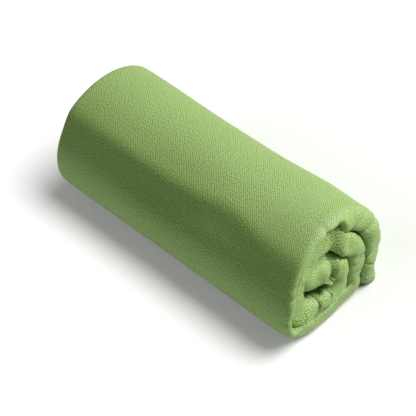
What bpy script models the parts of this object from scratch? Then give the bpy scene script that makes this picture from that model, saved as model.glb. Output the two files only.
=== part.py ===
"""A quick dry travel towel, folded twice and rolled up.

The towel is 1.20 m by 0.60 m. Folding its length in half twice gives a pack of four plies, 0.30 m
wide, and rolling that pack along the towel's width gives the roll.

Frame: +X runs along the roll from the hemmed end to the folded end, +Z is up, and the origin is the
centre of the roll's footprint on the surface that it lies on.

A place along the rolled pack is its turning angle. It is 0 at the loose end, low on the +Y side, and
grows towards the core: up the back, over the top, down the front and along the underside. The roll
is made of half turns about two centres, numbered from 0 at the core, so that each lies on the last.
"""

import math

import bpy

# The flat towel (metres)
TOWEL_LENGTH = 1.20
TOWEL_WIDTH = 0.60
HEM_WIDTH = 0.012
THREAD_DIAMETER = 0.0008

# The pack and the roll (metres)
FOLDS = 2
PLY_LOFT = 0.0055  # one ply of the knit as it lies in the roll, with the air in it
TURN_GAP = 0.0005  # between one turn of the roll and the next, and between plies at a hem
CUT_GAP = 0.0012  # between two stretches of the pack, where the roll opens
THREAD_GAP = 0.0003  # round a thread in its groove
CORE_HOLLOW = 0.0010  # radius of the hole left along the roll's middle
SETTLE = 0.0016  # how far the roll's own weight flattens its underside
SETTLE_EASE = 0.0008  # half the height over which the flat eases into the round

# Places round the roll (degrees, counted from +Y towards +Z)
LOOSE_END_AT = -42.0
LOWER_HINGE_AT = 12.0
UPPER_HINGE_AT = 62.0

# Fineness of the faceted solids
LARGEST_TURN = math.radians(8.0)
SMALL_TURN = math.radians(0.5)
FOLD_FACETS = 8
EDGE_FACETS = 4
CORE_HEM_FACETS = 12
THREAD_FACETS = 6

# Sizes that follow
PLIES = 2**FOLDS
ROLL_LENGTH = TOWEL_LENGTH / PLIES
HEMMED_END = -ROLL_LENGTH / 2
FOLDED_END = ROLL_LENGTH / 2
PACK = PLIES * PLY_LOFT
PITCH = PACK + TURN_GAP
INNERMOST_PLY = PACK - PLY_LOFT / 2
GROOVE = THREAD_DIAMETER + 2 * THREAD_GAP
HALF_PITCH = PITCH / 2


def middle_radius(half_turn):
    """The radius of the pack's middle in a half turn of the roll."""
    return CORE_HOLLOW + PACK / 2 + half_turn * HALF_PITCH


def whole_turning():
    """The turning angle from the loose end to the core, which takes up the towel's width."""
    half_turn = 0
    left = TOWEL_WIDTH - HEM_WIDTH
    while left > math.pi * middle_radius(half_turn):
        left -= math.pi * middle_radius(half_turn)
        half_turn += 1
    return math.pi * half_turn + left / middle_radius(half_turn)


CORE = whole_turning()
TOP = math.radians(90.0 - LOOSE_END_AT)
UNDERSIDE = math.radians(270.0 - LOOSE_END_AT)
LOWER_HINGE = math.radians(LOWER_HINGE_AT - LOOSE_END_AT)
UPPER_HINGE = math.radians(UPPER_HINGE_AT - LOOSE_END_AT)

KNIT_GREEN = (0.235, 0.395, 0.115, 1.0)
HEM_GREEN = (0.205, 0.355, 0.095, 1.0)
THREAD_GREEN = (0.330, 0.480, 0.190, 1.0)


def direction(turning):
    """The way outwards (y, z) at a turning angle."""
    angle = turning + math.radians(LOOSE_END_AT)
    return math.cos(angle), math.sin(angle)


def half_turn_at(turning):
    """The number of the half turn that a turning angle is in."""
    return max(0, math.floor((CORE - turning) / math.pi))


def radius(turning):
    """Distance from the half turn's centre to the pack's outer face, before the roll settles."""
    return middle_radius(half_turn_at(turning)) + PACK / 2


def centre(turning):
    """The half turn's centre (y, z) about the roll's middle: even and odd ones have one each."""
    side = 1 if half_turn_at(turning) % 2 == 0 else -1
    return tuple(side * HALF_PITCH / 2 * part for part in direction(CORE - math.pi))


def turning_over(length, turning, depth):
    """The turning angle that a length covers at a depth in the pack, near a turning angle."""
    return length / (radius(turning) - depth)


MIDDLE_Z = radius(UNDERSIDE) - centre(UNDERSIDE)[1] - SETTLE


# The last half turn leaves a round hollow of this radius round the core hem, whose own middle is off
# the hollow's middle by the offset.
CORE_SPACE = CORE_HOLLOW + HALF_PITCH
CORE_OFFSET = math.hypot(CORE_HOLLOW + PACK / 2 - HALF_PITCH, GROOVE)
CORE_HEM_RADIUS = CORE_SPACE - CORE_OFFSET - SETTLE - THREAD_GAP


def settled(height):
    """The height of a face over what lies under it, once the roll's weight has flattened it."""
    if height <= -SETTLE_EASE:
        return 0.0
    if height >= SETTLE_EASE:
        return height
    return (height + SETTLE_EASE) ** 2 / (4 * SETTLE_EASE)


def outer_face(turning):
    """The point (y, z) of the pack's outer face at a turning angle, with the roll's middle at y = 0."""
    y, z = (c + radius(turning) * d for c, d in zip(centre(turning), direction(turning)))
    turns_under = max(0, math.floor((turning - TOP) / (2 * math.pi)))
    bed = turns_under * PITCH
    return y, bed + settled(MIDDLE_Z + z - bed)


def footprint_middle():
    """The y halfway between the roll's two sides."""
    across = [outer_face(math.radians(degree))[0] for degree in range(360)]
    return (min(across) + max(across)) / 2


MIDDLE_Y = -footprint_middle()


def inward(turning):
    """The way (y, z) square into the pack from its outer face."""
    before = outer_face(turning - SMALL_TURN)
    after = outer_face(turning + SMALL_TURN)
    along_y, along_z = after[0] - before[0], after[1] - before[1]
    step = math.hypot(along_y, along_z)
    return -along_z / step, along_y / step


def face_point(turning, depth=0.0):
    """The point (y, z) in the part's frame, at a depth below the pack's outer face."""
    y, z = outer_face(turning)
    in_y, in_z = inward(turning)
    return y + MIDDLE_Y + depth * in_y, z + depth * in_z


def stretch_path(start, end):
    """Points (y, z) along the outer face, in even steps with a half step at each end.

    Each end lies on the middle of a chord, so a stretch's end faces stand square to the pack.
    """
    steps = math.ceil((end - start) / LARGEST_TURN)
    step = (end - start) / steps
    points = [face_point(start + (k - 0.5) * step) for k in range(steps + 2)]
    first = tuple((a + b) / 2 for a, b in zip(points[0], points[1]))
    last = tuple((a + b) / 2 for a, b in zip(points[-2], points[-1]))
    return [first, *points[1:-1], last]


def arc(centre, size, start, end, facets):
    """Points (x, depth) on a round edge, between two angles in degrees."""
    angles = [math.radians(start + (end - start) * k / facets) for k in range(facets + 1)]
    return [(centre[0] + size * math.cos(a), centre[1] + size * math.sin(a)) for a in angles]


def pack_section():
    """The pack cut across, as points (x, depth below the outer face).

    At the folded end one round fold goes over all the plies. At the hemmed end the outer half of
    the plies ends in a fold of its own, and the inner half stops short where the short hems lie.
    """
    fold = PACK / 2
    half_fold = PACK / 4
    shoulder = HEMMED_END + HEM_WIDTH + GROOVE
    return [
        *arc((FOLDED_END - fold, fold), fold, -90, 90, FOLD_FACETS),
        (shoulder, PACK),
        (shoulder, PACK / 2),
        *arc((HEMMED_END + half_fold, half_fold), half_fold, 90, 270, EDGE_FACETS),
    ]


def long_hem_section():
    """All the plies of the loose end's long hem: folded like the pack at one end, plain at the other."""
    fold = PACK / 2
    edge = PLY_LOFT / 2
    return [
        *arc((FOLDED_END - fold, fold), fold, -90, 90, FOLD_FACETS),
        *arc((HEMMED_END + edge, PACK - edge), edge, 90, 180, EDGE_FACETS // 2),
        *arc((HEMMED_END + edge, edge), edge, 180, 270, EDGE_FACETS // 2),
    ]


def short_hem_section(ply):
    """One ply's short hem, turned over at its edge. Plies count from 0 at the outer face."""
    outer = ply * PLY_LOFT + TURN_GAP
    inner = (ply + 1) * PLY_LOFT
    edge = (inner - outer) / 2
    return [
        (HEMMED_END + HEM_WIDTH, outer),
        (HEMMED_END + HEM_WIDTH, inner),
        *arc((HEMMED_END + edge, outer + edge), edge, 90, 270, EDGE_FACETS),
    ]


def short_stitching_section(ply):
    """The thread in the groove beside a short hem."""
    centre = (HEMMED_END + HEM_WIDTH + GROOVE / 2, (ply + 0.5) * PLY_LOFT)
    return arc(centre, THREAD_DIAMETER / 2, 0, 360, THREAD_FACETS)[:-1]


def edge_route():
    """The towel's long edge in the pack, as points (x, depth): four plies joined by three folds."""
    fold = PACK / 2
    folded_x = FOLDED_END - fold
    hemmed_x = HEMMED_END + PLY_LOFT
    return [
        (hemmed_x, INNERMOST_PLY),
        *arc((folded_x, fold), fold - PLY_LOFT / 2, 90, -90, FOLD_FACETS),
        *arc((hemmed_x, fold / 2), PLY_LOFT / 2, 270, 90, EDGE_FACETS),
        *arc((folded_x, fold), PLY_LOFT / 2, -90, 90, EDGE_FACETS),
        (hemmed_x, fold + PLY_LOFT / 2),
    ]


def cloth_material(name, colour, roughness):
    """A matt cloth or thread material."""
    made = bpy.data.materials.new(name)
    made.use_nodes = True
    shader = made.node_tree.nodes["Principled BSDF"]
    shader.inputs["Base Color"].default_value = colour
    shader.inputs["Roughness"].default_value = roughness
    shader.inputs["Metallic"].default_value = 0.0
    return made


def new_collection(name):
    """A collection in the scene."""
    made = bpy.data.collections.new(name)
    bpy.context.scene.collection.children.link(made)
    return made


def poly_curve(name, points, cyclic=False):
    """A curve of straight steps through points (x, y, z)."""
    curve = bpy.data.curves.new(name, "CURVE")
    spline = curve.splines.new("POLY")
    spline.points.add(len(points) - 1)
    for point, place in zip(spline.points, points):
        point.co = (*place, 1.0)
    spline.use_cyclic_u = cyclic
    return curve


def hang(piece, hinge):
    """Parents a piece to a hinge's empty where it is. The roll's own pieces have no hinge."""
    towel.objects.link(piece)
    bpy.context.view_layer.update()
    if hinge is not None:
        piece.parent = hinge
        piece.matrix_parent_inverse = hinge.matrix_world.inverted()


def hinge_line(name, turning, parent=None):
    """An empty on the line, along the pack's outer face, that a stretch of the roll opens about."""
    empty = bpy.data.objects.new(name, None)
    empty.location = (0.0, *face_point(turning))
    hang(empty, parent)
    bpy.context.view_layer.update()
    return empty


def swept(name, section, start, end, material, hinge=None):
    """A section carried round the roll between two turning angles."""
    outline = poly_curve(name + ".section", [(-depth, x, 0.0) for x, depth in reversed(section)], cyclic=True)
    outline.dimensions = "2D"
    outline.fill_mode = "NONE"
    profile = bpy.data.objects.new(name + ".section", outline)
    profile.hide_render = True
    profile.display_type = "WIRE"
    sections.objects.link(profile)
    curve = poly_curve(name, [(y, z, 0.0) for y, z in stretch_path(start, end)])
    curve.dimensions = "2D"
    curve.bevel_mode = "OBJECT"
    curve.bevel_object = profile
    curve.use_fill_caps = True
    curve.materials.append(material)
    piece = bpy.data.objects.new(name, curve)
    piece.rotation_euler = (math.pi / 2, 0.0, math.pi / 2)
    hang(piece, hinge)


def long_stitching(name, turning, sideways, material, hinge=None):
    """The thread beside a long hem, through all the plies and folds, a little past a turning angle."""
    in_y, in_z = inward(turning)
    shift_y, shift_z = sideways * in_z, -sideways * in_y
    places = [(x, *face_point(turning, depth)) for x, depth in edge_route()]
    curve = poly_curve(name, [(x, y + shift_y, z + shift_z) for x, y, z in places])
    curve.dimensions = "3D"
    curve.bevel_depth = THREAD_DIAMETER / 2
    curve.bevel_resolution = THREAD_FACETS // 2 - 2
    curve.use_fill_caps = True
    curve.materials.append(material)
    hang(bpy.data.objects.new(name, curve), hinge)


def core_hem(name, material):
    """The long hem at the core, bunched into a half round bar in the last half turn's hollow."""
    in_y, in_z = inward(CORE)
    y, z = face_point(CORE, PACK / 2)
    start = math.atan2(-in_z, -in_y)
    steps = [start + math.pi * k / CORE_HEM_FACETS for k in range(CORE_HEM_FACETS + 1)]
    outline = [(CORE_HEM_RADIUS * math.cos(a), CORE_HEM_RADIUS * math.sin(a), 0.0) for a in steps]
    curve = poly_curve(name, outline, cyclic=True)
    curve.dimensions = "2D"
    curve.fill_mode = "BOTH"
    curve.extrude = ROLL_LENGTH / 2
    curve.materials.append(material)
    piece = bpy.data.objects.new(name, curve)
    piece.location = (0.0, y + GROOVE * in_z, z - GROOVE * in_y)
    piece.rotation_euler = (math.pi / 2, 0.0, math.pi / 2)
    hang(piece, None)


for leftover in list(bpy.data.objects):
    bpy.data.objects.remove(leftover)
towel = new_collection("quick_dry_towel")
sections = new_collection("sections")

knit = cloth_material("towel_knit", KNIT_GREEN, 0.95)
hem_knit = cloth_material("hem_knit", HEM_GREEN, 0.95)
thread = cloth_material("sewing_thread", THREAD_GREEN, 0.6)

upper_hinge = hinge_line("upper_hinge", UPPER_HINGE)
lower_hinge = hinge_line("lower_hinge", LOWER_HINGE, upper_hinge)

# The loose end's long hem and the groove for its stitching lie across the pack. The groove is as
# wide as the stitching needs at the innermost ply.
loose_hem_stop = turning_over(HEM_WIDTH, 0.0, PACK / 2)
loose_start = loose_hem_stop + turning_over(GROOVE, 0.0, INNERMOST_PLY)
lower_gap = turning_over(CUT_GAP / 2, LOWER_HINGE, 0.0)
upper_gap = turning_over(CUT_GAP / 2, UPPER_HINGE, 0.0)

# Name, first and last turning angle, and hinge of each stretch of the pack.
stretches = (
    ("loose_end", loose_start, LOWER_HINGE - lower_gap, lower_hinge),
    ("back_panel", LOWER_HINGE + lower_gap, UPPER_HINGE - upper_gap, upper_hinge),
    ("roll", UPPER_HINGE + upper_gap, CORE, None),
)
short_hems = (("short_hem_a", PLIES - 2), ("short_hem_b", PLIES - 1))

for stretch, start, end, hinge in stretches:
    swept(f"{stretch}_cloth", pack_section(), start, end, knit, hinge)
    for hem, ply in short_hems:
        swept(f"{stretch}_{hem}", short_hem_section(ply), start, end, hem_knit, hinge)
        stitching = f"{stretch}_{hem}_stitching"
        swept(stitching, short_stitching_section(ply), start, end, thread, hinge)

swept("loose_end_long_hem", long_hem_section(), 0.0, loose_hem_stop, hem_knit, lower_hinge)
loose_groove = (loose_hem_stop + loose_start) / 2
long_stitching("loose_end_long_hem_stitching", loose_groove, 0.0, thread, lower_hinge)
core_hem("core_long_hem", hem_knit)
long_stitching("core_long_hem_stitching", CORE, GROOVE / 2, thread)
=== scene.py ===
"""The looks of the rolled quick dry towel.

The towel is one knitted cloth, 1.20 m by 0.60 m. Its length is folded twice into a pack of four
plies, 0.30 m wide, and the pack is rolled along the towel's width. A place on the cloth is given by
its turning angle round the roll, which is 0 at the loose end and grows towards the core, and by its
place in the folded pack: x along the roll, and the depth below the pack's outer face.
"""

import math

import bpy
import numpy as np
from mathutils import Matrix, Vector


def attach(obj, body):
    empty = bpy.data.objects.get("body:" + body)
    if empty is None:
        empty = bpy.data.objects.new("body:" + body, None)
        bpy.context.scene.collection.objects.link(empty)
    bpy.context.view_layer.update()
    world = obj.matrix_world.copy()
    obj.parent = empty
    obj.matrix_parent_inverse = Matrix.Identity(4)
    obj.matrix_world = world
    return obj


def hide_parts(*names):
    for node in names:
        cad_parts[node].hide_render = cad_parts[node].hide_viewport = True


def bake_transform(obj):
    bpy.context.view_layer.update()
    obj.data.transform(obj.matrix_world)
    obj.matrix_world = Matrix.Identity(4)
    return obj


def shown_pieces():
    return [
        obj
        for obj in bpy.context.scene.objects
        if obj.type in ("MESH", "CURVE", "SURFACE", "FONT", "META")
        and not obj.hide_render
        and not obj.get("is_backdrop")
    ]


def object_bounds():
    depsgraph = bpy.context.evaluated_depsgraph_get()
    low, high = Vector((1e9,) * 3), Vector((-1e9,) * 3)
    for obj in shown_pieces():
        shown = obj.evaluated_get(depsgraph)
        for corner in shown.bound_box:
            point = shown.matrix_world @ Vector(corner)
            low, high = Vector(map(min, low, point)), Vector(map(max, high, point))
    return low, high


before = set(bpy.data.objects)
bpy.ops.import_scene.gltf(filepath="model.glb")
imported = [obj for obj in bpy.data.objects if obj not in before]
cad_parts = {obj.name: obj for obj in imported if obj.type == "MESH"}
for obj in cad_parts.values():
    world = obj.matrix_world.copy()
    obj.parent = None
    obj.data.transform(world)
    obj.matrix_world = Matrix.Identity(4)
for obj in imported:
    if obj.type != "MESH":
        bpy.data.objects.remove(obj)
cad_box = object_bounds()

# The flat towel, its hems and its stitches (metres)
TOWEL_WIDTH = 0.60
HEM_WIDTH = 0.012
CLOTH = 0.0018
HEM_THICKNESS = 0.0036
SEAM_INSET = 0.0020
STITCH = 0.0034
STITCH_PITCH = 0.0042
STITCH_THICKNESS = 0.0009

# The pack and the roll, laid as the solids are (metres)
PLIES = 4
PLY_LOFT = 0.0055
PACK = PLIES * PLY_LOFT
PITCH = PACK + 0.0005
HALF_PITCH = PITCH / 2
CORE_HOLLOW = 0.0010
SETTLE = 0.0016
SETTLE_EASE = 0.0008
LENGTH = cad_box[1][0] - cad_box[0][0]
HEMMED_END = -LENGTH / 2
FOLDED_END = LENGTH / 2
LOOSE_END_AT = math.radians(-42.0)

# Turning angles where the towel is cut into its three stretches, and a small step of turning
WRAP_START = math.radians(80.0)
WRAP_END = math.radians(312.0)
SMALL_TURN = math.radians(0.4)


# ------------------------------------------------------------------ the shape of the roll


def smooth(value, start, end):
    """0 before start, 1 after end, and 3t^2 - 2t^3 between them."""
    t = np.clip((value - start) / (end - start), 0.0, 1.0)
    return t * t * (3 - 2 * t)


def hump(value, middle, half_width):
    """A round hump of height 1: exp(-(distance / half width)^2)."""
    return np.exp(-(((value - middle) / half_width) ** 2))


def side_hump(angle, middle, half_width):
    """A hump at an angle in degrees, its distance taken the shorter way round."""
    return hump((angle - middle + 180) % 360, 180, half_width)


def soft_noise(u, v, seed, period=64):
    """Smooth noise from -1 to 1: random values on a unit lattice, eased from one to the next.

    It comes round again after a whole number of steps in u, the period.
    """
    table = np.random.default_rng(seed).uniform(-1, 1, (64, 64))
    u0, v0 = np.floor(u).astype(int), np.floor(v).astype(int)
    fu, fv = u - u0, v - v0
    fu, fv = fu * fu * (3 - 2 * fu), fv * fv * (3 - 2 * fv)
    a, b = table[u0 % period, v0 % 64], table[(u0 + 1) % period, v0 % 64]
    c, d = table[u0 % period, (v0 + 1) % 64], table[(u0 + 1) % period, (v0 + 1) % 64]
    return (a * (1 - fu) + b * fu) * (1 - fv) + (c * (1 - fu) + d * fu) * fv


def middle_radius(half_turn):
    """The radius of the pack's middle in a half turn of the roll, counted from the core."""
    return CORE_HOLLOW + PACK / 2 + half_turn * HALF_PITCH


def whole_turning():
    """The turning angle from the loose end to the core, which takes up the towel's width."""
    half_turn = 0
    left = TOWEL_WIDTH - HEM_WIDTH
    while left > math.pi * middle_radius(half_turn):
        left -= math.pi * middle_radius(half_turn)
        half_turn += 1
    return math.pi * half_turn + left / middle_radius(half_turn)


CORE = whole_turning()
TOP = math.pi / 2 - LOOSE_END_AT
UNDERSIDE = 3 * math.pi / 2 - LOOSE_END_AT


def round_face(turning):
    """The pack's outer face (y, z) before it settles: half turns about two centres in turn."""
    half_turn = np.maximum(0, np.floor((CORE - turning) / math.pi))
    radius = middle_radius(half_turn) + PACK / 2
    side = (1 - 2 * (half_turn % 2)) * HALF_PITCH / 2
    tilt = LOOSE_END_AT + CORE - math.pi
    angle = turning + LOOSE_END_AT
    return (
        side * math.cos(tilt) + radius * np.cos(angle),
        side * math.sin(tilt) + radius * np.sin(angle),
    )


outer_turn_y, _ = round_face(np.linspace(0.0, 2 * math.pi, 1441))
MIDDLE_Y = -(outer_turn_y.min() + outer_turn_y.max()) / 2
MIDDLE_Z = -float(round_face(np.array(UNDERSIDE))[1]) - SETTLE


def outer_face(turning):
    """The pack's outer face (y, z). Each turn's underside is flattened on the turn under it."""
    y, z = round_face(turning)
    bed = np.maximum(0, np.floor((turning - TOP) / (2 * math.pi))) * PITCH
    height = MIDDLE_Z + z - bed
    eased = np.clip(height + SETTLE_EASE, 0, None) ** 2 / (4 * SETTLE_EASE)
    return y + MIDDLE_Y, bed + np.where(height < SETTLE_EASE, eased, height)


def in_roll(turning, x, depth):
    """Points (x, y, z) at a depth square below the outer face, with the roll's outer form on them."""
    turning, x, depth = np.broadcast_arrays(turning, x, depth)
    y, z = outer_face(turning)
    before = outer_face(turning - SMALL_TURN)
    after = outer_face(turning + SMALL_TURN)
    along_y, along_z = after[0] - before[0], after[1] - before[1]
    step = np.hypot(along_y, along_z)
    y = y - depth * along_z / step
    z = z + depth * along_y / step
    return formed(x, y, z)


# The roll's middle height, its radius about that, and the lowest that the cloth's middle may lie
AXIS_Z = 0.060
ROLL_RADIUS = 0.066
LOWEST = CLOTH / 2

# The outer turn's front, pressed thin near the folded end: degrees, and how much thinner (metres)
THIN_FROM, THIN_TO = 77, 212
THIN_EASE = 8
THINNER = 0.0145
INNER_THIN_FROM = 82
INNER_THIN_EASE = 26

# Swellings and hollows (share of the distance, angle in degrees, half width in degrees)
ALL_ALONG = ((0.026, 35, 45),)
NEAR_FOLDED_END = ((0.064, 46, 36), (0.21, 302, 11))
NEARING_TIP = ((-0.026, 46, 36),)
AT_TIP = ((-0.040, 2, 24), (-0.085, 328, 11))
NEAR_HEMMED_END = ((0.035, 40, 45), (0.030, 120, 30), (0.022, 142, 16))

# The ridge along the top's front edge, and the hollow in front of it: places in degrees round the
# roll, heights as shares of the distance
CREST = 132
CREST_HEIGHT, CREST_HALF_WIDTH = 0.024, 10
VALLEY_DEPTH, VALLEY_HALF_WIDTH, VALLEY_OFF = 0.038, 13, 18
UNEVENNESS = 0.0045
UNEVEN_STEPS = 13

# The domed end (metres): its top and bottom lean back, the underside's corner moves out, and the
# inner turns are tucked in
DOME_ABOVE, DOME_BELOW = 0.010, 0.005
CORNER_OUT = 0.012
TUCKED_IN = 0.009

face_y, face_z = outer_face(np.linspace(0.0, 2 * math.pi, 721))
FACE_ANGLES = np.degrees(np.arctan2(face_z - AXIS_Z, face_y)) % 360
FACE_DISTANCES = np.hypot(face_y, face_z - AXIS_Z)


def plateau(value, start, end, ease):
    """1 from start to end, eased to 0 over a distance outside them."""
    return smooth(value, start - ease, start) * (1 - smooth(value, end, end + ease))


def swelling(angle, humps):
    """The sum of side humps, each given as its height, middle and half width."""
    return sum(height * side_hump(angle, middle, half_width) for height, middle, half_width in humps)


def formed(x, y, z):
    """The roll's hand-rolled form, worked on the distance from its middle at each angle round it.

    The angle is counted in degrees from +Y towards +Z. First, near the folded end, the outer turn is
    pressed thin on the front, so what lies inside it moves outwards, most just below the outer turn
    and not at all at the middle. Then swellings and hollows, each a hump in the angle times a share
    that is eased along x, scale the distance. Last, the end itself is domed.
    """
    angle = np.degrees(np.arctan2(z - AXIS_Z, y)) % 360
    distance = np.hypot(y, z - AXIS_Z)
    near = smooth(x, 0.02, 0.125)
    tip = smooth(x, 0.080, 0.132)
    far = smooth(-x, 0.03, 0.125)

    face = np.interp(angle, FACE_ANGLES, FACE_DISTANCES, period=360)
    below = np.clip(face - distance, 0, None)
    inside = np.clip((below - PITCH) / (1.6 * PITCH), 0, 1)
    shift = np.where(below < PITCH, below / PITCH, 1 - inside * inside * (3 - 2 * inside))
    inner = smooth(below, 0.85 * PITCH, 1.05 * PITCH)
    outer_pressed = plateau(angle, THIN_FROM, THIN_TO, THIN_EASE)
    inner_pressed = plateau(angle, INNER_THIN_FROM, THIN_TO, INNER_THIN_EASE)
    thinned = THINNER * tip * ((1 - inner) * outer_pressed + inner * inner_pressed)
    distance = distance + thinned * shift

    size = 1 + swelling(angle, ALL_ALONG) + near * swelling(angle, NEAR_FOLDED_END)
    size = size + near * tip * swelling(angle, NEARING_TIP) + tip * swelling(angle, AT_TIP)
    size = size + far * swelling(angle, NEAR_HEMMED_END)
    ridge = 1 - 0.5 * near - 0.4 * far
    crest = CREST - 6 * hump(x, 0.055, 0.030) + 3 * hump(x, -0.03, 0.04)
    raised = CREST_HEIGHT * side_hump(angle, crest, CREST_HALF_WIDTH)
    sunk = VALLEY_DEPTH * side_hump(angle, crest + VALLEY_OFF, VALLEY_HALF_WIDTH)
    uneven = soft_noise(angle / 360 * UNEVEN_STEPS, x / 0.045 + 9, 6, UNEVEN_STEPS)
    size = size + ridge * (raised - sunk) + UNEVENNESS * uneven
    distance = distance * size
    radians = np.radians(angle)
    height = np.maximum(distance * np.sin(radians), LOWEST - AXIS_Z)
    off_axis = np.clip(np.abs(height) / AXIS_Z, 0, 1.1)
    dome = np.where(height > 0, DOME_ABOVE, DOME_BELOW) * off_axis**2
    corner = CORNER_OUT * near * plateau(angle, 285, 322, 24) * (distance / ROLL_RADIUS) ** 2
    tucked = TUCKED_IN * plateau(angle, 84, 205, 14) * smooth(below, 0.80 * PITCH, 1.02 * PITCH)
    return np.stack(
        [x - tip * (dome + tucked), distance * np.cos(radians) + corner, AXIS_Z + height],
        axis=-1,
    )


# ------------------------------------------------------------------ the folded pack

# How deep the four plies' middles lie below the pack's outer face (metres)
OUTER_DEPTH = CLOTH / 2
INNER_DEPTH = PACK - CLOTH / 2
SECOND_DEPTH = 0.0070
THIRD_DEPTH = 0.0150

# The folds: how far each reaches along x, and how full it is
FOLD_REACH = 0.0095
FOLDED_BASE = FOLDED_END - CLOTH / 2 - FOLD_REACH
GREAT_FULLNESS = 2.9
SMALL_REACH = 0.0032
HEMMED_BASE = HEMMED_END + CLOTH / 2 + SMALL_REACH
NESTED_REACH = 0.005
NESTED_BASE = FOLDED_BASE - 0.002
SMALL_FULLNESS = 2.1
FINE_STRETCH = 0.060  # how much of a ply next to the folded end has fine steps


def run(start, end, step):
    """Even places from start to end, without the last one."""
    count = max(2, round(abs(end - start) / step))
    return np.linspace(start, end, count, endpoint=False)


def fold(x_base, reach, depth_a, depth_b, fullness, count):
    """A fold from one depth to another as (x, depth): half a superellipse of the given fullness.

    x goes out by the reach, positive or negative, and the fold's sides get flatter as the fullness,
    the superellipse's power, grows past 2.
    """
    angle = np.linspace(-math.pi / 2, math.pi / 2, count, endpoint=False)
    out = np.abs(np.cos(angle)) ** (2 / fullness)
    across = np.sign(np.sin(angle)) * np.abs(np.sin(angle)) ** (2 / fullness)
    middle, half = (depth_a + depth_b) / 2, (depth_b - depth_a) / 2
    return x_base + reach * out, middle + half * across


def ply(start, end, depth, fine, coarse):
    """A flat ply from one x to another at a depth, with fine steps near the folded end."""
    edge = FOLDED_END - FINE_STRETCH
    low, high = min(start, end), max(start, end)
    x = np.concatenate([run(low, edge, coarse), run(edge, high, fine), [high]])
    if start > end:
        x = x[::-1]
    x = x[:-1]
    return x, np.full(len(x), depth)


def towel_profile(fine, coarse):
    """The whole towel's length in the pack: x, depth and length along the cloth, from short hem b.

    Ply 3 innermost, the great fold, ply 0 outermost, the small fold, ply 1, the nested fold, ply 2.
    """
    hem_edge = HEMMED_END + HEM_WIDTH / 2
    pieces = [
        ply(hem_edge, FOLDED_BASE, INNER_DEPTH, fine, coarse),
        fold(FOLDED_BASE, FOLD_REACH, INNER_DEPTH, OUTER_DEPTH, GREAT_FULLNESS, 26),
        ply(FOLDED_BASE, HEMMED_BASE, OUTER_DEPTH, fine, coarse),
        fold(HEMMED_BASE, -SMALL_REACH, OUTER_DEPTH, SECOND_DEPTH, SMALL_FULLNESS, 12),
        ply(HEMMED_BASE, NESTED_BASE, SECOND_DEPTH, fine * 3, coarse * 2),
        fold(NESTED_BASE, NESTED_REACH, SECOND_DEPTH, THIRD_DEPTH, SMALL_FULLNESS, 10),
        ply(NESTED_BASE, hem_edge, THIRD_DEPTH, fine * 3, coarse * 2),
        (np.array([hem_edge]), np.array([THIRD_DEPTH])),
    ]
    x = np.concatenate([piece[0] for piece in pieces])
    depth = np.concatenate([piece[1] for piece in pieces])
    along = np.concatenate([[0.0], np.cumsum(np.hypot(np.diff(x), np.diff(depth)))])
    return x, depth, along


def width_at(turning):
    """The place across the flat towel's width at a turning angle, along the pack's middle."""
    half_turn = np.maximum(0, np.floor((CORE - turning) / math.pi))
    inner = CORE_HOLLOW + PACK / 2
    within = half_turn * math.pi * (inner + (half_turn - 1) * HALF_PITCH / 2)
    return within + (CORE - turning - half_turn * math.pi) * middle_radius(half_turn)


# ------------------------------------------------------------------ meshes


def faces_to_piece(name, points, loops, starts, uv=None):
    """A smooth shaded piece from points, the points round its faces in turn, and each face's start.

    uv, where it is given, is a place on the flat cloth in metres for each point round each face.
    """
    mesh = bpy.data.meshes.new(name)
    mesh.vertices.add(points.size // 3)
    mesh.vertices.foreach_set("co", points.reshape(-1))
    mesh.loops.add(len(loops))
    mesh.loops.foreach_set("vertex_index", loops.astype(np.int32))
    mesh.polygons.add(len(starts))
    mesh.polygons.foreach_set("loop_start", starts.astype(np.int32))
    if uv is not None:
        layer = mesh.uv_layers.new(name="cloth_metres")
    mesh.update(calc_edges=True)
    if uv is not None:
        layer.data.foreach_set("uv", uv.reshape(-1).astype(np.float32))
    mesh.validate()
    mesh.shade_smooth()
    piece = bpy.data.objects.new(name, mesh)
    bpy.context.scene.collection.objects.link(piece)
    return piece


def grid_piece(name, points, places, round_columns=False):
    """A piece on a grid of points (rows, columns, 3), with UVs from places (rows, columns or one more, 2).

    Four neighbouring points make one face. With round_columns the last column joins the first, so
    the grid is a tube, and a face closes each end of it.
    """
    rows, columns = points.shape[:2]
    wide = columns if round_columns else columns - 1
    i, j = np.meshgrid(np.arange(rows - 1), np.arange(wide), indexing="ij")
    i, j = i.ravel(), j.ravel()
    corners = np.array([[i, j], [i, j + 1], [i + 1, j + 1], [i + 1, j]])
    loops = (corners[:, 0] * columns + corners[:, 1] % columns).T.ravel()
    uv = places[corners[:, 0], corners[:, 1]].transpose(1, 0, 2).reshape(-1, 2)
    starts = np.arange(len(i)) * 4
    if round_columns:
        first = np.arange(columns)[::-1]
        last = (rows - 1) * columns + np.arange(columns)
        starts = np.concatenate([starts, [len(loops), len(loops) + columns]])
        loops = np.concatenate([loops, first, last])
        uv = np.concatenate([uv, places[0, first], places[-1, np.arange(columns)]])
    return faces_to_piece(name, points, loops, starts, uv)


def turnings(start, end, step):
    """Turning angles from start to end, spaced by a length along the pack's outer face."""
    fine = np.linspace(start, end, 4000)
    y, z = outer_face(fine)
    travelled = np.concatenate([[0.0], np.cumsum(np.hypot(np.diff(y), np.diff(z)))])
    count = max(3, round(travelled[-1] / step) + 1)
    return np.interp(np.linspace(0, travelled[-1], count), travelled, fine)


# Turning angle, half width and depth of the deepest pleats, and how far they slant over the fold
BIG_PLEATS = (
    (40.0, 2.0, 0.45, 4.0),
    (78.0, 1.8, 0.50, -5.0),
    (95.0, 2.0, 0.42, -8.0),
    (436.0, 2.0, 0.22, 6.0),
    (372.0, 2.0, 0.32, 5.0),
    (528.0, 3.0, 0.12, 9.0),
)


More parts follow.
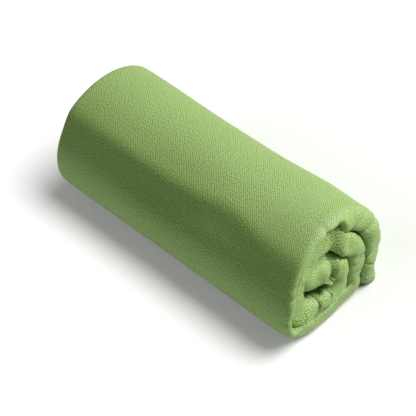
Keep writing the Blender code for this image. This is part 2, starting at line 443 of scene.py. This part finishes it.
def pleat_depth(turning, across):
    """How far the folds' tips are pinched in, from 0 to 1: narrow slanted grooves at uneven places.

    across runs from -1 at the fold's inner side to 1 at its outer side.
    """
    rng = np.random.default_rng(11)
    places = np.cumsum(rng.uniform(8.0, 26.0, 60)) - 30.0
    widths = rng.uniform(0.9, 2.6, 60)
    depths = rng.uniform(0.04, 0.28, 60)
    slants = rng.uniform(-7.0, 7.0, 60)
    degrees = np.degrees(turning)
    lying = (places + math.degrees(LOOSE_END_AT)) % 360
    on_underside = plateau(lying, 225, 335, 15) > 0.5
    depths = depths * np.where(on_underside, 0.3, 1.0)
    depth = np.zeros(np.broadcast_shapes(degrees.shape, across.shape))
    for place, width, deep, slant in [*BIG_PLEATS, *zip(places, widths, depths, slants)]:
        off = degrees - place - slant * across
        depth = np.maximum(depth, deep * np.exp(-np.abs(off / width) ** 1.4))
    return depth


def pinched(turning, x, depth):
    """The pack's profile (x, depth) with its great fold pinched by pleats and a little uneven."""
    out = np.clip((x - FOLDED_BASE) / FOLD_REACH, 0, None)
    across = np.clip((PACK / 2 - depth) / (PACK / 2), -1, 1)
    on_fold = smooth(x, FOLDED_BASE - 0.012, FOLDED_BASE + 0.004)
    pleat = pleat_depth(turning, across) * on_fold
    uneven = 0.0016 * soft_noise(np.degrees(turning) / 23.0, 1.3 * across + 5, 4) * on_fold
    x = x - 0.010 * pleat * (0.35 + 0.65 * out) + uneven
    depth = depth + 0.0055 * pleat * across
    return x, depth


def keep_cut_edges_sharp(mesh, rows, columns):
    """Marks the edges along a grid's first and last row sharp, so a cut shades flat up to its edge."""
    ends = np.empty(len(mesh.edges) * 2, dtype=np.int32)
    mesh.edges.foreach_get("vertices", ends)
    row = ends.reshape(-1, 2) // columns
    same = row[:, 0] == row[:, 1]
    mesh.edges.foreach_set("use_edge_sharp", same & ((row[:, 0] == 0) | (row[:, 0] == rows - 1)))


def cloth(name, start, end, step, fine, coarse, material):
    """A stretch of the towel between two turning angles, all plies and folds in one sheet.

    Gives the piece and its flat size: the length along the profile and the width across the towel.
    """
    turning = turnings(start, end, step)[:, None]
    x, depth, along = towel_profile(fine, coarse)
    points = in_roll(turning, *pinched(turning, x[None, :], depth[None, :]))
    places = np.stack(np.broadcast_arrays(along[None, :], width_at(turning)), axis=-1)
    piece = grid_piece(name, points, places)
    keep_cut_edges_sharp(piece.data, *points.shape[:2])
    piece.data.materials.append(material)
    thickness = piece.modifiers.new("cloth_thickness", "SOLIDIFY")
    thickness.thickness = CLOTH
    thickness.offset = 0.0
    width = abs(float(width_at(turning[0, 0]) - width_at(turning[-1, 0])))
    return piece, (float(along[-1]), width)


def hem_section(width, thickness, count):
    """A flattened tube's section as (across, through): a superellipse of power 3."""
    angle = np.linspace(0, 2 * math.pi, count, endpoint=False)
    across = np.sign(np.cos(angle)) * np.abs(np.cos(angle)) ** (2 / 3)
    through = np.sign(np.sin(angle)) * np.abs(np.sin(angle)) ** (2 / 3)
    return width / 2 * across, thickness / 2 * through


SHORT_HEM_POINTS = 20
SHORT_HEM_STEP = 0.003


def short_hem(name, start, end, depth, material):
    """A short hem: the turned over edge of one ply, a flattened tube carried round the roll."""
    turning = turnings(start, end, SHORT_HEM_STEP)[:, None]
    across, through = hem_section(HEM_WIDTH, HEM_THICKNESS, SHORT_HEM_POINTS)
    x = HEMMED_END + HEM_WIDTH / 2 + across[None, :]
    points = in_roll(turning, x, depth + through[None, :])
    around = np.linspace(0, 2 * (HEM_WIDTH + HEM_THICKNESS), SHORT_HEM_POINTS + 1)
    places = np.stack(np.broadcast_arrays(around[None, :], width_at(turning)), axis=-1)
    piece = grid_piece(name, points, places, round_columns=True)
    piece.data.materials.append(material)
    return piece


STITCH_STATIONS = np.array([-0.5, -0.32, 0.32, 0.5]) * STITCH
STITCH_RADII = np.array([0.35, 1.0, 1.0, 0.35]) * STITCH_THICKNESS / 2
STITCH_SIDES = 6


def stitch_row(name, centres, along, outward):
    """Stitches as small capsules: a ring of points at each station, closed at both ends.

    centres, along and outward are arrays (stitches, 3): the middle, the way the stitch runs, and
    the way off the cloth.
    """
    along = along / np.linalg.norm(along, axis=1, keepdims=True)
    outward = outward - (outward * along).sum(axis=1, keepdims=True) * along
    outward = outward / np.linalg.norm(outward, axis=1, keepdims=True)
    side = np.cross(along, outward)
    angle = np.linspace(0, 2 * math.pi, STITCH_SIDES, endpoint=False)[None, :, None]
    ring = outward[:, None, :] * np.cos(angle) + side[:, None, :] * np.sin(angle)
    points = (
        centres[:, None, None, :]
        + along[:, None, None, :] * STITCH_STATIONS[None, :, None, None]
        + ring[:, None, :, :] * STITCH_RADII[None, :, None, None]
    )
    count, stations = len(centres), len(STITCH_STATIONS)
    base = np.arange(count)[:, None] * stations * STITCH_SIDES
    s, i, j = np.meshgrid(base, np.arange(stations - 1), np.arange(STITCH_SIDES), indexing="ij")
    here, beyond = s + i * STITCH_SIDES, s + (i + 1) * STITCH_SIDES
    following = (j + 1) % STITCH_SIDES
    quads = np.stack([here + j, here + following, beyond + following, beyond + j], axis=-1)
    first = base + np.arange(STITCH_SIDES)[::-1]
    last = base + (stations - 1) * STITCH_SIDES + np.arange(STITCH_SIDES)
    loops = np.concatenate([quads.ravel(), first.ravel(), last.ravel()])
    quad_starts = np.arange(quads.size // 4) * 4
    end_starts = quads.size + np.arange(2 * count) * STITCH_SIDES
    piece = faces_to_piece(name, points, loops, np.concatenate([quad_starts, end_starts]))
    piece.data.materials.append(sewing_thread)
    return piece


def both_faces(rows):
    """The outer and the inner face's rows of stitches as one: middles, ways along and ways outward."""
    return [np.concatenate(parts) for parts in zip(*rows)]


def short_stitches(turning, depth, off):
    """Stitches along a short hem's inner edge: off is 1 on the ply's outer face and -1 on its inner."""
    seam = HEMMED_END + HEM_WIDTH - SEAM_INSET
    middle = in_roll(turning, seam, depth - off * (HEM_THICKNESS / 2))
    ahead = in_roll(turning + SMALL_TURN, seam, depth - off * (HEM_THICKNESS / 2))
    above = in_roll(turning, seam, depth - off * HEM_THICKNESS)
    return middle, ahead - middle, above - middle


# ------------------------------------------------------------------ materials


def new_material(name):
    """A material and its shader, with the object's own nodes to be added."""
    made = bpy.data.materials.new(name)
    made.use_nodes = True
    return made, made.node_tree, made.node_tree.nodes["Principled BSDF"]


def node(tree, kind, **settings):
    """A node with its settings. Names that are inputs set the input's value."""
    made = tree.nodes.new(kind)
    for key, value in settings.items():
        if hasattr(made, key):
            setattr(made, key, value)
        else:
            made.inputs[key.replace("_", " ").title()].default_value = value
    return made


def math_node(tree, operation, *values):
    """A Math node on numbers or sockets, and its output."""
    made = tree.nodes.new("ShaderNodeMath")
    made.operation = operation
    for slot, value in zip(made.inputs, values):
        if isinstance(value, (int, float)):
            slot.default_value = value
        else:
            tree.links.new(value, slot)
    return made.outputs[0]


def mix_colour(tree, factor, a, b, blend="MIX"):
    """A Mix node on two colours or sockets, and its output."""
    made = tree.nodes.new("ShaderNodeMix")
    made.data_type = "RGBA"
    made.blend_type = blend
    for slot, value in ((made.inputs[0], factor), (made.inputs[6], a), (made.inputs[7], b)):
        if isinstance(value, (int, float, tuple)):
            slot.default_value = value
        else:
            tree.links.new(value, slot)
    return made.outputs[2]


def birdseye_group():
    """Birdseye knit: raised dots in staggered, slightly uneven rows on the cloth's own metres.

    A dot is a cell of a grid turned by 45 degrees, highest at its middle. Fine noise is the yarn.
    """
    tree = bpy.data.node_groups.new("birdseye_knit", "ShaderNodeTree")
    tree.interface.new_socket("Place", in_out="INPUT", socket_type="NodeSocketVector")
    tree.interface.new_socket("Stitch Pitch", in_out="INPUT", socket_type="NodeSocketFloat")
    tree.interface.new_socket("Eyelet", in_out="OUTPUT", socket_type="NodeSocketFloat")
    tree.interface.new_socket("Yarn", in_out="OUTPUT", socket_type="NodeSocketFloat")
    tree.interface.new_socket("Height", in_out="OUTPUT", socket_type="NodeSocketFloat")
    given = tree.nodes.new("NodeGroupInput")
    out = tree.nodes.new("NodeGroupOutput")
    turned = tree.nodes.new("ShaderNodeMapping")
    turned.inputs["Rotation"].default_value = (0.0, 0.0, math.radians(45.0))
    tree.links.new(given.outputs["Place"], turned.inputs["Vector"])
    cells = tree.nodes.new("ShaderNodeTexVoronoi")
    cells.voronoi_dimensions = "2D"
    cells.feature = "F1"
    cells.inputs["Randomness"].default_value = 0.45
    tree.links.new(turned.outputs[0], cells.inputs["Vector"])
    tree.links.new(math_node(tree, "DIVIDE", 1.0, given.outputs["Stitch Pitch"]), cells.inputs["Scale"])
    eased = tree.nodes.new("ShaderNodeMapRange")
    eased.interpolation_type = "SMOOTHSTEP"
    eased.inputs["From Min"].default_value = 0.58
    eased.inputs["From Max"].default_value = 0.12
    tree.links.new(cells.outputs["Distance"], eased.inputs["Value"])
    eyelet = eased.outputs[0]
    yarn = node(tree, "ShaderNodeTexNoise", Scale=2600.0, Detail=2.0)
    tree.links.new(given.outputs["Place"], yarn.inputs["Vector"])
    height = math_node(tree, "ADD", eyelet, math_node(tree, "MULTIPLY", yarn.outputs[0], 0.35))
    tree.links.new(eyelet, out.inputs["Eyelet"])
    tree.links.new(yarn.outputs[0], out.inputs["Yarn"])
    tree.links.new(height, out.inputs["Height"])
    return tree


birdseye = birdseye_group()


def knit_material(name, hollow, raised, pitch):
    """The towel's knit: darker green hollows with lighter, greyer raised dots; the two tones are partly
    the knit's own and partly painted shade in the hollows and painted sheen on the dots.
    """
    made, tree, shader = new_material(name)
    place = tree.nodes.new("ShaderNodeUVMap")
    place.uv_map = "cloth_metres"
    knit = tree.nodes.new("ShaderNodeGroup")
    knit.node_tree = birdseye
    knit.inputs["Stitch Pitch"].default_value = pitch
    tree.links.new(place.outputs[0], knit.inputs["Place"])
    patches = node(tree, "ShaderNodeTexNoise", Scale=9.0, Detail=2.0)
    tree.links.new(place.outputs[0], patches.inputs["Vector"])
    # The hollow colour holds painted shade and the raised colour holds painted sheen, besides the knit's
    # own two tones
    knit_tone_and_painted_light = mix_colour(tree, knit.outputs["Eyelet"], (*hollow, 1.0), (*raised, 1.0))
    light = math_node(tree, "ADD", math_node(tree, "MULTIPLY", knit.outputs["Yarn"], 0.30), 0.85)
    patch = math_node(tree, "ADD", math_node(tree, "MULTIPLY", patches.outputs[0], 0.16), 0.92)
    level = math_node(tree, "MULTIPLY", light, patch)
    combine = tree.nodes.new("ShaderNodeCombineXYZ")
    for slot in combine.inputs:
        tree.links.new(level, slot)
    colour = mix_colour(tree, 1.0, knit_tone_and_painted_light, combine.outputs[0], "MULTIPLY")
    tree.links.new(colour, shader.inputs["Base Color"])
    bump = tree.nodes.new("ShaderNodeBump")
    bump.inputs["Strength"].default_value = 0.40
    bump.inputs["Distance"].default_value = 0.0006
    tree.links.new(knit.outputs["Height"], bump.inputs["Height"])
    tree.links.new(bump.outputs[0], shader.inputs["Normal"])
    gloss = math_node(tree, "SUBTRACT", 0.75, math_node(tree, "MULTIPLY", knit.outputs["Eyelet"], 0.32))
    tree.links.new(gloss, shader.inputs["Roughness"])
    shader.inputs["Specular IOR Level"].default_value = 0.5
    shader.inputs["Sheen Weight"].default_value = 0.04
    shader.inputs["Sheen Roughness"].default_value = 0.4
    return made


def thread_material(name, colour):
    """Sewing thread: a plain colour, broken up by fine noise into lighter and darker fibres."""
    made, tree, shader = new_material(name)
    place = tree.nodes.new("ShaderNodeTexCoord")
    noise = node(tree, "ShaderNodeTexNoise", Scale=1800.0, Detail=1.0)
    tree.links.new(place.outputs["Object"], noise.inputs["Vector"])
    dark = tuple(0.7 * part for part in colour)
    shade = mix_colour(tree, noise.outputs[0], (*dark, 1.0), (*colour, 1.0))
    tree.links.new(shade, shader.inputs["Base Color"])
    shader.inputs["Roughness"].default_value = 0.55
    shader.inputs["Sheen Weight"].default_value = 0.2
    return made


# Hollow and raised colours: the darker hollow is partly painted shade, and the lighter, greyer dot is
# partly painted sheen
towel_knit = knit_material("towel_knit", (0.115, 0.228, 0.018), (0.275, 0.395, 0.120), 0.00155)
hem_knit = knit_material("hem_knit", (0.110, 0.215, 0.018), (0.255, 0.375, 0.105), 0.0014)
sewing_thread = thread_material("sewing_thread", (0.30, 0.43, 0.17))

# ------------------------------------------------------------------ the towel

OUTERMOST = 5  # the half turn at the loose end
LOOSE_HEM = HEM_WIDTH / middle_radius(OUTERMOST)  # the loose end's hem, as a turning angle


def rides_as(stretch, piece):
    """Puts a piece of the roll's stretch on the roll's body; a piece of any other stretch has its
    transform baked into its mesh.
    """
    if stretch == "roll":
        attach(piece, "roll")
    elif stretch == "back_panel":
        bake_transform(piece)
    else:
        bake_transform(piece)


# Name, turning angles, and the steps of the mesh round the roll and along it (metres)
STRETCHES = (
    ("roll", WRAP_END, CORE, 0.0040, 0.0090),
    ("back_panel", WRAP_START, WRAP_END, 0.0025, 0.0035),
    ("loose_end", LOOSE_HEM / 2, WRAP_START, 0.0025, 0.0035),
)
FINE_STEP = 0.0028
SHORT_HEMS = (("a", THIRD_DEPTH), ("b", INNER_DEPTH - 0.001))

for stretch, start, end, step, coarse_step in STRETCHES:
    towel, flat = cloth(f"{stretch}_towel", start, end, step, FINE_STEP, coarse_step, towel_knit)
    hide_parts(f"{stretch}_cloth")
    sewn_on = []
    for letter, depth in SHORT_HEMS:
        hem = short_hem(f"{stretch}_hem_{letter}", start, end, depth, hem_knit)
        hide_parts(f"{stretch}_short_hem_{letter}")
        along_hem = turnings(start, end, STITCH_PITCH)
        rows = [short_stitches(along_hem, depth, off) for off in (1, -1)]
        row = stitch_row(f"{stretch}_stitches_{letter}", *both_faces(rows))
        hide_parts(f"{stretch}_short_hem_{letter}_stitching")
        sewn_on += [hem, row]
    for piece in [towel, *sewn_on]:
        rides_as(stretch, piece)


LONG_HEM_STEP = 0.0045
LONG_HEM_POINTS = 16
SMALL_STEP = 0.0005


def long_hem(name, turning, material):
    """A long hem through all the plies: a flattened tube that follows the folded pack's profile."""
    x, depth, along = towel_profile(LONG_HEM_STEP, LONG_HEM_STEP)
    dx, dd = np.gradient(x), np.gradient(depth)
    step = np.hypot(dx, dd)
    across, through = hem_section(HEM_WIDTH, HEM_THICKNESS, LONG_HEM_POINTS)
    turn = turning + across[None, :] / middle_radius(OUTERMOST)
    points = in_roll(
        turn,
        x[:, None] - through[None, :] * (dd / step)[:, None],
        depth[:, None] + through[None, :] * (dx / step)[:, None],
    )
    around = np.linspace(0, 2 * (HEM_WIDTH + HEM_THICKNESS), LONG_HEM_POINTS + 1)
    places = np.stack(np.broadcast_arrays(along[:, None], around[None, :]), axis=-1)
    piece = grid_piece(name, points, places, round_columns=True)
    piece.data.materials.append(material)
    return piece


def long_stitches(name, turning, reach=FOLDED_END):
    """Stitches along a long hem's inner edge, on both faces of every ply, as far as x = reach."""
    x, depth, along = towel_profile(LONG_HEM_STEP, LONG_HEM_STEP)
    marks = np.arange(STITCH_PITCH, along[-1] - STITCH_PITCH, STITCH_PITCH)
    marks = marks[np.interp(marks, along, x) < reach]
    here_x, here_depth = np.interp(marks, along, x), np.interp(marks, along, depth)
    before, after = marks - SMALL_STEP, marks + SMALL_STEP
    dx = np.interp(after, along, x) - np.interp(before, along, x)
    dd = np.interp(after, along, depth) - np.interp(before, along, depth)
    step = np.hypot(dx, dd)
    rows = []
    for off in (1, -1):
        lift_x, lift_depth = off * HEM_THICKNESS / 2 * dd / step, off * HEM_THICKNESS / 2 * dx / step
        middle = in_roll(turning, here_x - lift_x, here_depth + lift_depth)
        above = in_roll(turning, here_x - 2 * lift_x, here_depth + 2 * lift_depth)
        ahead = in_roll(turning, here_x + dx - lift_x, here_depth + dd + lift_depth)
        rows.append((middle, ahead - middle, above - middle))
    return stitch_row(name, *both_faces(rows))


# The bunched hem at the core (metres): its half width and half height, how much each grows by at
# the folded end, its rounded ends, and how far its middle shifts there
BUNCH_WIDE, BUNCH_WIDER = 0.0085, 0.0150
BUNCH_TALL, BUNCH_TALLER = 0.0080, 0.0040
BUNCH_END = 0.008
BUNCH_INSET = 0.013
BUNCH_OVER, BUNCH_UP = -0.0070, 0.0150
BUNCH_SIDES = 48


def core_bunch(name, material):
    """The long hem at the core, bunched: a soft bar whose ends bulge out of the roll and are creased.

    Rows run along x and round over both ends; columns run round the bar. The bar grows towards the
    folded end, and soft noise creases it. A place on its cloth is the length from the nearer end's
    middle, turned by the angle round the bar.
    """
    cap = np.linspace(-math.pi / 2, math.pi / 2, 25)
    low, high = cap[:12], cap[13:]
    half = LENGTH / 2 - BUNCH_INSET
    body = np.linspace(-half, half, 60)
    x = np.concatenate([-half + BUNCH_END * np.sin(low), body, half + BUNCH_END * np.sin(high)])[:, None]
    size = np.concatenate([np.cos(low), np.ones(len(body)), np.cos(high)])[:, None]
    flare = smooth(x, 0.095, 0.135)
    angle = np.linspace(0, 2 * math.pi, BUNCH_SIDES, endpoint=False)[None, :]
    size = size * (1 + 0.06 * soft_noise(angle * 12 / (2 * math.pi), x / 0.009, 3, 12))
    middle_y = MIDDLE_Y - 0.001 + BUNCH_OVER * flare
    middle_z = MIDDLE_Z - 0.003 + BUNCH_UP * flare
    y = middle_y + size * (BUNCH_WIDE + BUNCH_WIDER * flare) * np.cos(angle)
    z = middle_z + size * (BUNCH_TALL + BUNCH_TALLER * flare) * np.sin(angle) + 0.06 * (y - middle_y)
    bulge = 0.0018 * soft_noise(y / 0.010, z / 0.010 + 3.0, 8) * smooth(x, 0.125, 0.140)
    points = np.stack([x + bulge, y, z], axis=-1)
    steps = np.linalg.norm(np.diff(points, axis=0), axis=-1).mean(axis=1)
    along = np.concatenate([[0.0], np.cumsum(steps)])
    from_end = np.minimum(along, along[-1] - along)[:, None]
    turned = np.linspace(0, 2 * math.pi, BUNCH_SIDES + 1)[None, :]
    places = np.stack([from_end * np.cos(turned), from_end * np.sin(turned)], axis=-1)
    piece = grid_piece(name, points[::-1], places[::-1], round_columns=True)
    piece.data.materials.append(material)
    return piece


core = core_bunch("core_hem_bunch", towel_knit)
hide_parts("core_long_hem")
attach(core, "roll")

loose_hem = long_hem("loose_end_edge_hem", LOOSE_HEM / 2, hem_knit)
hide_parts("loose_end_long_hem")
core_stitches = long_stitches("core_stitches", CORE - 0.25, FOLDED_END - 0.03)
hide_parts("core_long_hem_stitching")
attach(core_stitches, "roll")
loose_stitches = long_stitches("loose_end_edge_stitches", LOOSE_HEM * 0.8)
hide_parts("loose_end_long_hem_stitching")
for piece, slot in ((loose_hem, "hem_knit"), (loose_stitches, "sewing_thread")):
    rides_as("loose_end", piece)

# ------------------------------------------------------------------ floor, light and camera


def stage_floor():
    """A plain white floor."""
    mesh = bpy.data.meshes.new("floor")
    far = 40.0
    corners = [(-far, -far, 0), (far, -far, 0), (far, far, 0), (-far, far, 0)]
    mesh.from_pydata(corners, [], [(0, 1, 2, 3)])
    floor = bpy.data.objects.new("floor", mesh)
    bpy.context.scene.collection.objects.link(floor)
    made, _, shader = new_material("floor_white")
    shader.inputs["Base Color"].default_value = (0.86, 0.86, 0.86, 1.0)
    shader.inputs["Roughness"].default_value = 0.9
    shader.inputs["Specular IOR Level"].default_value = 0.0
    floor.data.materials.append(made)
    floor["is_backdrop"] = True
    return floor


def area_light(name, place, target, size, power, lit, colour=(1.0, 1.0, 1.0)):
    """A square area light at a place, facing a target, for the pieces of a collection."""
    data = bpy.data.lights.new(name, "AREA")
    data.size = size
    data.energy = power
    data.color = colour
    light = bpy.data.objects.new(name, data)
    light.light_linking.receiver_collection = lit
    light.matrix_world = facing(place, target)
    bpy.context.scene.collection.objects.link(light)


def sun_light(name, place, spread, strength, lit, colour=(1.0, 1.0, 1.0)):
    """A soft sun that shines from the way of a place, for the pieces of a collection."""
    data = bpy.data.lights.new(name, "SUN")
    data.angle = math.radians(spread)
    data.energy = strength
    data.color = colour
    light = bpy.data.objects.new(name, data)
    light.light_linking.receiver_collection = lit
    light.matrix_world = facing(place, (0, 0, 0))
    bpy.context.scene.collection.objects.link(light)


def facing(place, target):
    """The matrix that puts an object at a place with its -Z towards a target and its X level."""
    back = (Vector(place) - Vector(target)).normalized()
    right = Vector((0, 0, 1)).cross(back).normalized()
    turn = Matrix((right, back.cross(right), back)).transposed()
    return Matrix.Translation(place) @ turn.to_4x4()


def studio_world():
    """Soft greenish light from all round the towel, seen as plain white by the camera."""
    world = bpy.data.worlds.new("studio")
    world.use_nodes = True
    tree = world.node_tree
    soft_light = tree.nodes["Background"]
    soft_light.inputs["Color"].default_value = (0.84, 1.0, 0.60, 1.0)
    soft_light.inputs["Strength"].default_value = 0.16
    backdrop = node(tree, "ShaderNodeBackground", Color=(1.0, 1.0, 1.0, 1.0), Strength=1.0)
    seen = tree.nodes.new("ShaderNodeLightPath")
    either = tree.nodes.new("ShaderNodeMixShader")
    tree.links.new(seen.outputs["Is Camera Ray"], either.inputs[0])
    tree.links.new(soft_light.outputs[0], either.inputs[1])
    tree.links.new(backdrop.outputs[0], either.inputs[2])
    tree.links.new(either.outputs[0], tree.nodes["World Output"].inputs["Surface"])
    bpy.context.scene.world = world


AZIMUTH, ELEVATION = math.radians(43.5), math.radians(45.5)
VIEW_TARGET = np.array((0.0066, -0.0170, 0.0628))
VIEW_DISTANCE = 1.3
FOCAL_LENGTH = 120.1
SENSOR_WIDTH = 36.0


def view_camera():
    """The camera, at a distance from its target along an azimuth from -Y towards +X, and an elevation."""
    level = math.cos(ELEVATION)
    back = np.array((math.sin(AZIMUTH) * level, -math.cos(AZIMUTH) * level, math.sin(ELEVATION)))
    lens = bpy.data.cameras.new("camera")
    lens.lens = FOCAL_LENGTH
    lens.sensor_width = SENSOR_WIDTH
    camera = bpy.data.objects.new("camera", lens)
    camera.matrix_world = facing(tuple(VIEW_TARGET + VIEW_DISTANCE * back), tuple(VIEW_TARGET))
    bpy.context.scene.collection.objects.link(camera)
    bpy.context.scene.camera = camera


floor = stage_floor()
on_floor = bpy.data.collections.new("lit_by_the_floor_light")
on_floor.objects.link(floor)
on_towel = bpy.data.collections.new("lit_by_the_key_light")
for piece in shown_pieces():
    on_towel.objects.link(piece)
area_light("key", (1.36, 1.62, 2.60), (0, 0, 0.06), 0.9, 207.0, on_towel, (1.12, 1.0, 1.42))
sun_light("floor_light", (0.40, 0.24, 1.0), 34.0, 3.2, on_floor)
sun_light("floor_fill", (-0.3, -1.0, 0.6), 50.0, 1.25, on_floor, (1.0, 0.88, 1.14))
studio_world()
view_camera()
bpy.context.scene.view_settings.view_transform = "Standard"
